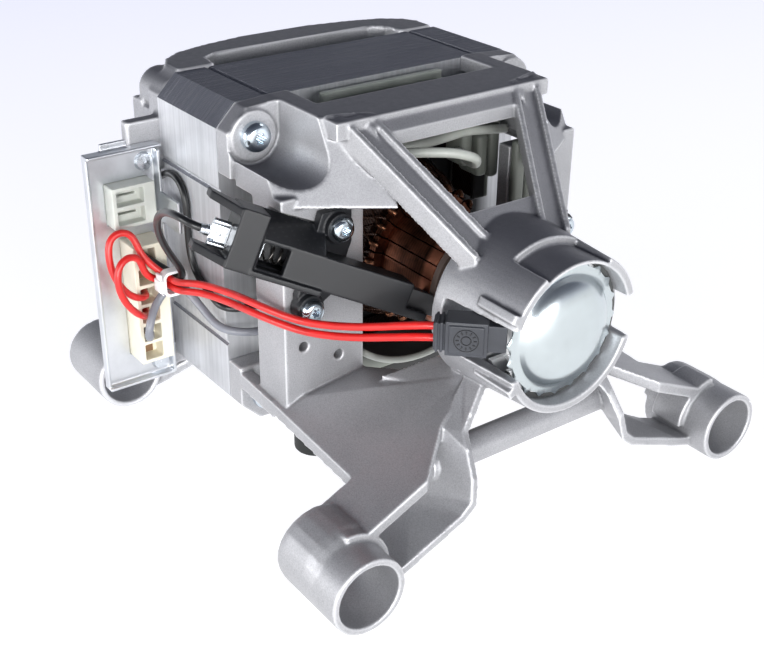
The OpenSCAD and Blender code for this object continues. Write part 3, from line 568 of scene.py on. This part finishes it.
# ------------------------------------------------------------------ leads
RED_UP = [(-20.6, -33.4, 4.7), (-24, -37, 4.7), (-25.5, -38.6, 4.7), (-33, -45, 3.2), (-44, -52, 0), (-55, -60, -1.3),
    (-62, -64, -1.4), (-69, -66.4, -1.4), (-79, -68.6, -1.7), (-89, -70, -2.2), (-101, -71, -4), (-113, -73, -6),
    (-120, -75.4, -7.9), (-124.6, -76.2, -8.8), (-128, -76.2, -8.9), (-130.2, -77.1, -8.2), (-132.4, -80.4, -4.8), (-134, -83.8, 0),
    (-135, -85, 4.4), (-136, -86.4, 7.8), (-136.6, -89.9, 9.4), (-136.8, -93.7, 7.8), (-136.2, -95.2, 4), (-135.4, -95.4, -2),
    (-134.2, -94, -8), (-133.6, -90.6, -13.4), (-134.2, -86.4, -16.6), (-136.2, -82.7, -17.8), (-139, -81.2, -18), (-142.9, -81, -18)]
RED_LO = [(-20.6, -33.4, 0.5), (-24, -37, 0.5), (-25.5, -38.6, 0.5), (-33, -45, -0.8), (-44, -52, -3.8), (-55, -60, -5),
    (-62, -64, -5), (-69, -66.4, -5), (-79, -68.6, -5.4), (-89, -70, -6), (-101, -71, -7.6), (-113, -73, -9.4),
    (-120, -75.4, -11.2), (-124.6, -76.2, -11.8), (-128, -76.2, -11.9), (-130.2, -76.7, -11.7), (-132, -78, -11), (-133, -80, -10),
    (-133, -82.2, -8.4), (-132.6, -84, -5.8), (-132, -85, -3), (-131.6, -86.3, 0.2), (-131.2, -89.9, 1.8), (-130.7, -93.6, 0.2),
    (-130.3, -95.2, -3.6), (-130, -95.2, -9.4), (-130, -93, -15.4), (-131, -89.2, -20.4), (-133.4, -85.6, -23.8), (-136.2, -82.6, -25.6),
    (-139, -81.2, -26), (-142.9, -81, -26)]
BLACK = [(-76, -86.8, 30.9), (-76.8, -88.8, 31.9), (-78.8, -91.6, 33.4), (-83.6, -93, 34.4), (-91, -92.4, 33), (-99, -90.8, 30),
    (-107.4, -89, 25), (-114, -86.2, 17.4), (-118, -82.2, 9), (-120.4, -77.8, 1.6), (-122.4, -74.2, -4.2), (-124.8, -73, -7.8),
    (-128, -73, -8.9), (-130.8, -73.4, -8.9), (-133.4, -75.6, -7.4), (-135.8, -78.3, -5), (-138.8, -80.3, -3.2), (-142.9, -81, -2.8)]
BLACK_REAR = [(-102, -42.9, -15), (-102, -49, -15), (-102, -56, -14.9), (-102.2, -61, -14.6), (-103.4, -65.6, -14.2), (-106.8, -68.2, -13.4),
    (-111.6, -68, -12.4), (-118, -67.5, -11), (-123.4, -67.4, -8.8), (-127, -67.4, -4.6), (-128.8, -67.4, 1), (-129, -67.4, 8),
    (-128.8, -67.4, 14.4), (-129.4, -67.4, 20), (-132.4, -67.4, 24.4), (-137.4, -67.4, 26), (-143, -67.4, 24.8), (-147.6, -67.5, 22.2),
    (-151, -68.6, 20), (-152.6, -71, 18.4), (-153, -73.2, 17.8)]
GREY = [(-98, -42.9, -24), (-98.2, -48, -24), (-98.8, -55, -24), (-100.4, -61, -23.6), (-103.2, -66, -22.8), (-106.8, -68.8, -21.8),
    (-111, -69.8, -20), (-115.6, -70.6, -17.6), (-120.6, -71.8, -14.2), (-124.8, -72.8, -12.3), (-128, -73, -12.1), (-130.6, -73.6, -13),
    (-132.8, -76.4, -15.8), (-132, -81, -20), (-129.4, -84.6, -24.4), (-128.8, -86, -29), (-131.2, -84.8, -32.4), (-136, -82, -33.6),
    (-139.6, -81.2, -33.6), (-142.9, -81, -33.6)]


def lead(node, route, d, slot):
    pts = relaxed(catmull([P(*q) for q in route], 6), 12)
    cu = bpy.data.curves.new(node + "_wire", "CURVE")
    cu.dimensions = "3D"
    cu.bevel_depth = d/2000
    cu.bevel_resolution = 5
    cu.use_fill_caps = True
    sp = cu.splines.new("POLY")
    sp.points.add(len(pts) - 1)
    for p, q in zip(sp.points, pts):
        p.co = (*q, 1)
    sp.use_smooth = True
    o = bpy.data.objects.new(node + "_wire", cu)
    coll.objects.link(o)
    cu.materials.append(M[slot])
    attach(o, "housing")
    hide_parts(node)
    tuple(pts[0])
    length(pts)
    return o


lead("red_lead_upper", RED_UP, 2.6, "red_insulation")
lead("red_lead_lower", RED_LO, 2.6, "red_insulation")
lead("black_lead", BLACK, 2.6, "black_insulation")
lead("black_lead_rear", BLACK_REAR, 2.6, "black_insulation")
lead("grey_lead", GREY, 3.0, "grey_insulation")

# ------------------------------------------------------------------ castings
REAR = ["rear_shield_frame_left", "rear_shield_frame_right", "rear_shield_hub_left",
        "rear_shield_hub_right", "rear_shield_arm_left", "rear_shield_arm_right"]
bm = bmesh.new()
bm.from_mesh(cad_mesh(*REAR))
# cast fillet where each arm runs into its tube
FILLET = ((16, 13.2), (30, 14.4), (45, 15.4), (60, 16.0), (75, 16.1), (90, 15.9), (105, 15.6), (120, 15.3), (135, 14.9), (150, 14.5), (165, 14.1), (180, 13.7), (195, 13.3), (205, 13.1))
for sgn in (-1, 1):
    rows = []
    for x, k in ((-27.6, 0.1), (-26.2, 0.8), (-24, 1.0), (-12, 1.0), (-9, 0.75), (-7, 0.3), (-5.6, 0.02)):
        ring = [(12.9 + (k if sgn < 0 else 0.4*k)*(r - 12.9), a) for a, r in FILLET] + [(12.3, a) for a, r in FILLET[::-1]]
        rows.append([bm.verts.new(P(x, sgn*(82.2 - r*math.cos(math.radians(a))), -62.1 + r*math.sin(math.radians(a)))) for r, a in ring])
    new = []
    for A, B in zip(rows[:-1], rows[1:]):
        for j in range(len(A)):
            new.append(bm.faces.new((A[j], A[(j + 1) % len(A)], B[(j + 1) % len(A)], B[j])))
    new.append(bm.faces.new(rows[0]))
    new.append(bm.faces.new(rows[-1]))
    bmesh.ops.recalc_face_normals(bm, faces=new)
cast = bpy.data.meshes.new("rear_cast")
bm.to_mesh(cast)
bm.free()
add("rear_end_shield_skin", remeshed(cast, 0.0005, 5), "housing", "cast_aluminium", None, REAR)
moulded("front_end_shield", 0.0008, 3, "cast_aluminium")

# ------------------------------------------------------------------ mouldings and sheet
for side in ("left", "right"):
    moulded("brush_holder_" + side, 0.00035, 3, "black_plastic")
moulded("tacho_plug", 0.00022, 3, "grey_plastic")
moulded("terminal_connector", 0.00028, 2, "cream_plastic")
moulded("coding_connector", 0.00028, 3, "olive_plastic")
moulded("terminal_bracket", 0.00032, 2, "zinc_steel", "zinc_sheet")
moulded("lead_grommet", 0.0004, 4, "black_rubber")
moulded("coil_frame_upper", 0.00045, 6, "frame_plastic")
moulded("coil_frame_lower", 0.00045, 4, "frame_plastic")


def placed(bm, mat4):
    bmesh.ops.transform(bm, matrix=mat4, verts=bm.verts)
    return bm


def brush_frame(right=False):
    """Local frame of a brush holder (mm, x out along the brush) to the part's frame in metres."""
    m = Matrix.Translation((105.2, 0, 75.4))
    if right:
        m = m @ Matrix.Rotation(math.pi, 4, "X")
    m = m @ Matrix.Translation((-42.6, 0, 0)) @ Matrix.Rotation(math.radians(-25.5), 4, "X")
    m = m @ Matrix.Translation((0, 0, -11)) @ Matrix.Rotation(math.radians(250), 4, "Z") @ Matrix.Scale(-1, 4, (0, 1, 0))
    return Matrix.Scale(0.001, 4) @ m


# push-on receptacle: base, two rolled rails, wire crimp and insulation crimp
bm = bmesh.new()
rbox_into(bm, (91.4, 0.45, -2.5), (97.0, 1.25, 5.5), 0.25, 2)
for z0 in (-2.1, 5.1):
    tube_into(bm, [(91.4, -0.15, z0), (94.2, -0.15, z0), (97.0, -0.15, z0)], 1.08, 14)
rbox_into(bm, (93.4, -0.9, 0.9), (95.2, 0.6, 2.1), 0.2, 2)
rbox_into(bm, (96.6, 0.3, -0.3), (98.2, 1.2, 3.3), 0.3, 2)
tube_into(bm, [(97.5, 0, 1.5), (98.2, 0, 1.5), (98.9, 0, 1.5)], 1.75, 16)
for k in (-0.65, 0.65):
    tube_into(bm, [(99.1, k, 1.5), (99.8, k, 1.5), (100.4, k, 1.5)], 1.55, 16)
add("terminal_sleeve_crimp", smooth(from_bm("terminal_sleeve_crimp", placed(bm, brush_frame())), 40), "housing", "zinc_steel", "zinc_steel", ("terminal_sleeve",))

# cable tie: strap with a ratchet head and a cut tail
bm = bmesh.new()


def rounded_loop(y0, y1, z0, z1, r, k=6):
    out = []
    for cy, cz, a0 in ((y1 - r, z1 - r, 0), (y0 + r, z1 - r, 90), (y0 + r, z0 + r, 180), (y1 - r, z0 + r, 270)):
        for j in range(k + 1):
            a = math.radians(a0 + 90*j/k)
            out.append((cy + r*math.cos(a), cz + r*math.sin(a)))
    return out


outer, inner = rounded_loop(-5.1, 4.4, -4.8, 4.9, 2.6), rounded_loop(-4.1, 3.4, -3.8, 3.9, 1.7)
loops = [[bm.verts.new((x, *q)) for q in ring] for ring, x in ((outer, -1.9), (outer, 1.9), (inner, 1.9), (inner, -1.9))]
for i in range(4):
    A, B = loops[i], loops[(i + 1) % 4]
    for j in range(len(A)):
        bm.faces.new((A[j], A[(j + 1) % len(A)], B[(j + 1) % len(A)], B[j]))
rbox_into(bm, (-2.4, -7.0, -2.4), (2.4, -4.9, 2.4), 0.5, 3)
rbox_into(bm, (-1.7, -6.5, 2.0), (1.7, -5.5, 4.6), 0.3, 2)
for k in range(4):
    rbox_into(bm, (-1.2, -5.35, -4.0 + 0.7*k), (1.2, -5.0, -3.7 + 0.7*k), 0.08, 1)
placed(bm, Matrix.Scale(0.001, 4) @ Matrix.Translation((105.2 - 128, -74.6, 75.4 - 10.6)))
add("cable_tie_strap", smooth(from_bm("cable_tie_strap", bm), 40), "housing", "white_nylon", None, ("cable_tie",))

# ------------------------------------------------------------------ speed sensor cap with a scalloped flange
bm = bmesh.new()
prof = [(0.004, 0.6), (4.0, 0.6), (7.5, 0.55), (10.0, 0.3), (12.5, -0.25), (14.8, -1.1), (16.6, -2.2), (18.0, -3.6), (18.8, -4.7), (19.4, -5.12), (20.4, -5.2),
        (22.0, -5.2), (23.3, -5.25), (23.8, -5.5), (23.8, -6.0), (23.3, -6.2), (20.0, -6.2), (18.6, -5.9), (17.2, -4.4), (15.6, -2.9), (13.4, -1.6), (10.0, -0.7), (0.004, -0.4)]
lathe_into(bm, prof, 240, wobble=lambda j, r, a: r - (2.0*abs(math.sin(10*a + 0.4))**0.8 if r > 23.0 else 0.0))
bmesh.ops.remove_doubles(bm, verts=bm.verts, dist=4e-5)
add("tacho_cap_pressing", smooth(from_bm("tacho_cap_pressing", bm), 50), "housing", "zinc_steel", "zinc_cap", ("tacho_cap",))

bm = bmesh.new()
rows = []
for k in range(81):
    a = -math.pi + 0.43 + (2*math.pi - 0.86)*k/80
    rows.append([bm.verts.new(P(x, r*math.cos(a), r*math.sin(a))) for r, x in ((22.75, -6.4), (24.12, -6.4), (24.12, -8.3), (22.75, -8.3))])
for A, B in zip(rows[:-1], rows[1:]):
    for j in range(4):
        bm.faces.new((A[j], A[(j + 1) % 4], B[(j + 1) % 4], B[j]))
bm.faces.new(rows[0])
bm.faces.new(rows[-1])
add("tacho_cap_gasket", smooth(from_bm("tacho_cap_gasket", bm), 30), "housing", "black_rubber")

# ------------------------------------------------------------------ stator: edges of the sheets
bm = bmesh.new()
HW, HH, CH = 66.0, 59.0, 7.6
side_pts = [(-HW, -HH + CH), (-HW, -30.3), (-HW + 1.1, -29), (-HW, -27.7), (-HW, 27.7), (-HW + 1.1, 29), (-HW, 30.3), (-HW, HH - CH),
            (-HW + CH, HH), (-46.6, HH), (-45.3, HH - 0.8), (-44, HH), (44, HH), (45.3, HH - 0.8), (46.6, HH), (HW - CH, HH)]
ring = side_pts + [(-y, -z) for y, z in side_pts]
for k in range(60):
    x1 = -106.52 - 0.7*k
    x0 = x1 - 0.58
    g = 0.03 + 0.05*abs(math.sin(k*12.9898)*43758.5453 % 1.0)
    rows = []
    for off, x in ((g - 0.03, x0), (g, x0 + 0.06), (g, x1 - 0.06), (g - 0.03, x1), (-1.8, x1), (-1.8, x0)):
        f = 1 + off/62.0
        rows.append([bm.verts.new(P(x, y*f, z*f)) for y, z in ring])
    for i in range(6):
        A, B = rows[i], rows[(i + 1) % 6]
        for j in range(len(ring)):
            bm.faces.new((A[j], A[(j + 1) % len(ring)], B[(j + 1) % len(ring)], B[j]))
add("stator_sheet_edges", from_bm("stator_sheet_edges", bm), "housing", "stack_steel")

# ------------------------------------------------------------------ rotor details
bm = bmesh.new()
for i in range(24):
    a = math.radians(15*i + 6.75)

    def Q(x, r, da=0.0):
        return P(x, -r*math.sin(a + da), r*math.cos(a + da))
    tube_into(bm, catmull([Q(-78.8, 22.6), Q(-78.6, 24.6), Q(-77.4, 25.6), Q(-76.0, 24.9), Q(-75.4, 23.9)], 4), 0.00085, 8)
add("commutator_hooks", smooth(from_bm("commutator_hooks", bm)), "rotor", "commutator_copper", "hook_copper")
bm = bmesh.new()
for i in range(48):
    a = math.radians(7.5*i + 6.75)
    sgn = 1 if i % 2 else -1

    def Q(x, r, da=0.0):
        return P(x, -r*math.sin(a + da), r*math.cos(a + da))
    tube_into(bm, catmull([Q(-77.2, 24.7), Q(-79.6, 25.2, 0.03*sgn), Q(-83.0, 24.9, 0.08*sgn), Q(-87.0, 26.6, 0.16*sgn), Q(-91.0, 28.6, 0.22*sgn), Q(-96.0, 29.9, 0.26*sgn)], 4), 0.0005, 6)
for i in range(36):
    a = math.radians(10*i)

    def Q(x, r, da=0.0):
        return P(x, -r*math.sin(a + da), r*math.cos(a + da))
    tube_into(bm, catmull([Q(-84.2, 21.5, -0.3), Q(-86.4, 24.6, -0.15), Q(-89.6, 27.3, 0.0), Q(-94.0, 29.0, 0.15), Q(-100.0, 29.9, 0.3), Q(-105.8, 29.7, 0.36)], 4), 0.0006, 6)
add("armature_wires", smooth(from_bm("armature_wires", bm)), "rotor", "winding_copper")
bm = bmesh.new()
lathe_into(bm, [(13.2, -48.95), (19.7, -48.95), (19.8, -48.0), (19.2, -46.9), (17.6, -46.4), (13.2, -46.4)], 96)
add("commutator_end_ring", smooth(from_bm("commutator_end_ring", bm), 40), "rotor", "moulding_brown")

# ------------------------------------------------------------------ field coil ends: sleeved wires and guides seen through the windows
bm = bmesh.new()
tube_into(bm, catmull([P(-89, -25, 38), P(-84, -19, 40.6), P(-78, -11, 42.2), P(-76, -2, 42.4), P(-77, 8, 42.2), P(-78.5, 18, 42), P(-78, 28, 41), P(-82, 40, 38)], 8), 0.0017, 12)
tube_into(bm, catmull([P(-86, -29, 37), P(-77, -23, 42), P(-67, -18, 44.6), P(-62, -10, 44.8), P(-58.5, -2, 43.8), P(-58, 5, 41), P(-64, 11, 36), P(-74, 16, 33), P(-84, 20, 33)], 8), 0.0017, 12)
add("coil_sleeves", smooth(from_bm("coil_sleeves", bm)), "housing", "frame_plastic", "sleeve_white")
bm = bmesh.new()
for y0, y1, z0, z1, x1 in ((20.0, 25.0, 27, 46, -81.5), (26.6, 31.6, 22, 38, -80.5), (33.2, 38.0, 20, 43, -81.5)):
    rbox_into(bm, P(-92.5, y0, z0), P(x1, y1, z1), 0.0018, 3)
rbox_into(bm, P(-69.6, 31.6, 6), P(-65.8, 36.6, 39), 0.0016, 3)
rbox_into(bm, P(-69.6, 38.0, 4), P(-66.4, 45.0, 37), 0.0016, 3)
add("coil_guides", smooth(from_bm("coil_guides", bm), 50), "housing", "frame_plastic", "guide_painted_shade")

# round lip of the lower coil frame around the armature, with its skirt painted near black as shade
bm = bmesh.new()
tube_into(bm, [P(-77.6, -42*math.sin(math.radians(a)), -42*math.cos(math.radians(a))) for a in range(-40, 45, 5)], 0.0013, 12)
add("coil_frame_lip", smooth(from_bm("coil_frame_lip", bm)), "housing", "frame_plastic", "sleeve_white")
bm = bmesh.new()
rows = []
for k in range(33):
    a = math.radians(-40 + 80*k/32)
    rows.append([bm.verts.new(P(x, -r*math.sin(a), -r*math.cos(a))) for r, x in ((41.5, -92.6), (42.6, -92.6), (42.6, -77.6), (41.5, -77.6))])
for A, B in zip(rows[:-1], rows[1:]):
    for j in range(4):
        bm.faces.new((A[j], A[(j + 1) % 4], B[(j + 1) % 4], B[j]))
bm.faces.new(rows[0])
bm.faces.new(rows[-1])
rbox_into(bm, P(-94.4, -41, -59.4), P(-92.8, 41, -52.5), 0.0004, 2)
add("coil_frame_skirt", smooth(from_bm("coil_frame_skirt", bm), 40), "housing", "frame_plastic", "skirt_painted_shade")

# ------------------------------------------------------------------ connector inserts and the dial on the plug
bm = bmesh.new()
w = (47.6 - 1.4)/6
for i in range(6):
    zc = -44.4 + (i + 0.5)*w - 0.7
    rbox_into(bm, P(-143.0, -84.0, zc - 2.6), P(-141.6, -79.0, zc + 2.4), 0.0004, 2)
add("connector_inserts", smooth(from_bm("connector_inserts", bm), 40), "housing", "moulding_brown", "contact_brown")
bm = bmesh.new()
for k in range(12):
    a = math.radians(30*k)
    r4 = Matrix.Rotation(a, 4, "Y")
    rbox_into(bm, (2.3, -5.22, -0.22), (3.3, -4.96, 0.22), 0.06, 1, r4)
b2 = [(math.cos(2*math.pi*k/36)*1.5, -5.04, math.sin(2*math.pi*k/36)*1.5) for k in range(36)]
tube_into(bm, b2, 0.2, 6, closed=True)
b2 = [(math.cos(2*math.pi*k/48)*3.8, -5.02, math.sin(2*math.pi*k/48)*3.8) for k in range(48)]
tube_into(bm, b2, 0.16, 6, closed=True)
placed(bm, Matrix.Scale(0.001, 4) @ Matrix.Translation((105.2 - 17.2, -29.8, 78.0)) @ Matrix.Rotation(math.radians(46.5), 4, "Z"))
add("tacho_plug_dial", smooth(from_bm("tacho_plug_dial", bm), 40), "housing", "grey_plastic", "black_plastic")

# ------------------------------------------------------------------ CAD shapes kept, welded and smoothed
KEEP = {
    "stator_core": ("stack_steel", None), "field_coil_upper": ("winding_copper", None), "field_coil_lower": ("winding_copper", None),
    "rear_shield_screws": ("zinc_steel", "zinc_screw"), "front_shield_screws": ("zinc_steel", "zinc_screw"), "shaft": ("shaft_steel", None),
    "rotor_core": ("stack_steel", "rotor_steel"), "armature_winding": ("winding_copper", None), "commutator_bars": ("commutator_copper", None),
    "commutator_hub": ("moulding_brown", None), "cooling_fan": ("black_plastic", None), "drive_pulley": ("shaft_steel", None),
    "front_bearing_outer": ("shaft_steel", "zinc_steel"), "front_bearing_inner": ("shaft_steel", "zinc_steel"), "front_bearing_balls": ("shaft_steel", "zinc_steel"),
    "rear_bearing_outer": ("shaft_steel", "zinc_steel"), "rear_bearing_inner": ("shaft_steel", "zinc_steel"), "rear_bearing_balls": ("shaft_steel", "zinc_steel"),
    "wave_washer": ("shaft_steel", "zinc_steel"), "shaft_circlip": ("shaft_steel", None), "tacho_magnet": ("magnet", None), "tacho_coil": ("frame_plastic", "white_nylon"),
    "carbon_brush_left": ("carbon", None), "carbon_brush_right": ("carbon", None), "brush_terminal_left": ("zinc_steel", None), "brush_terminal_right": ("zinc_steel", None),
    "brush_holder_screws": ("zinc_steel", "zinc_screw"), "connector_contacts": ("zinc_steel", None), "bracket_rivets": ("zinc_steel", None),
}
for n, (slot, mat) in KEEP.items():
    add(n + "_skin", smooth(cad_mesh(n), 32), BODY[n], slot, mat, (n,))
# brush springs: wound wire coiled along each brush
JOINTS = {j["name"]: j for j in frame["record"]["behaviour"]["joints"]}
for side in ("left", "right"):
    bm = bmesh.new()
    turns, steps = 10, 20
    coil = []
    for k in range(turns*steps + 1):
        a = 2*math.pi*k/steps
        coil.append((48.75 + 29.1*k/(turns*steps), 2.4*math.cos(a), 2.4*math.sin(a)))
    tube_into(bm, coil, 0.36, 8)
    o = add("brush_spring_%s_coil" % side, smooth(from_bm("brush_spring_%s_coil" % side, placed(bm, brush_frame(side == "right")))), "housing", "zinc_steel", "spring_steel", ("brush_spring_" + side,))
    j = JOINTS["brush_%s_slide" % side]
    tuple(j["axis"])
    tuple(j["deforming_nodes"][0]["fixed_end_m"])
    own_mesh(o)

# ------------------------------------------------------------------ stage and light
bpy.ops.mesh.primitive_plane_add(size=8, location=(0, 0, -0.0006))
floor = bpy.context.object
floor.name = "floor"
fm = Mat("floor", (0.34, 0.342, 0.35), 0.9, 0.0, 0.2)
sep = fm.new("ShaderNodeSeparateXYZ")
fm.link(fm.co.outputs["Object"], sep.inputs[0])
far = fm.math("ADD", fm.math("MULTIPLY", sep.outputs["X"], -0.80), fm.math("MULTIPLY", sep.outputs["Y"], 0.35))
far = fm.math("MULTIPLY", fm.math("ADD", far, 0.15), 1.1)
fm.link(fm.ramp(far, [(0.0, (1.0, 1.0, 1.0)), (1.0, (0.80, 0.815, 0.97))]), fm.b.inputs["Emission Color"])
fm.b.inputs["Emission Strength"].default_value = 0.90
floor.data.materials.append(fm.m)

world = bpy.data.worlds.new("studio")
scene.world = world
world.use_nodes = True
wt = world.node_tree
tc = wt.nodes.new("ShaderNodeTexCoord")
sx = wt.nodes.new("ShaderNodeSeparateXYZ")
wr = wt.nodes.new("ShaderNodeValToRGB")
mr = wt.nodes.new("ShaderNodeMapRange")
mr.inputs["From Min"].default_value = -1.0
wt.links.new(tc.outputs["Generated"], sx.inputs[0])
wt.links.new(sx.outputs["Z"], mr.inputs["Value"])
wt.links.new(mr.outputs["Result"], wr.inputs["Fac"])
e = wr.color_ramp.elements
e[0].position, e[0].color = 0.50, (1.0, 1.0, 1.0, 1)
e[1].position, e[1].color = 1.0, (0.06, 0.064, 0.085, 1)
for pos, col in ((0.56, (0.88, 0.89, 0.93)), (0.64, (0.42, 0.435, 0.50)), (0.74, (0.15, 0.16, 0.20))):
    k = e.new(pos)
    k.color = (*col, 1)
wt.links.new(wr.outputs["Color"], wt.nodes["Background"].inputs["Color"])
wt.nodes["Background"].inputs["Strength"].default_value = 1.0


def area(name, loc, target, size, power, col=(1, 1, 1)):
    d = bpy.data.lights.new(name, "AREA")
    d.size, d.energy, d.color = size, power, col
    o = bpy.data.objects.new(name, d)
    coll.objects.link(o)
    o.location = loc
    o.rotation_euler = (Vector(target) - Vector(loc)).to_track_quat("-Z", "Y").to_euler()
    return o


area("key", (1.15, -0.12, 0.16), (0, 0, 0.06), 0.6, 9)
area("fill", (-0.25, -1.15, 0.16), (0, 0, 0.05), 0.7, 8)
area("low", (0.8, -0.75, 0.05), (0, 0, 0.03), 0.5, 11)
area("rim", (0.1, 1.1, 0.9), (0, 0, 0.08), 0.7, 3)

scene.view_settings.view_transform = "Standard"
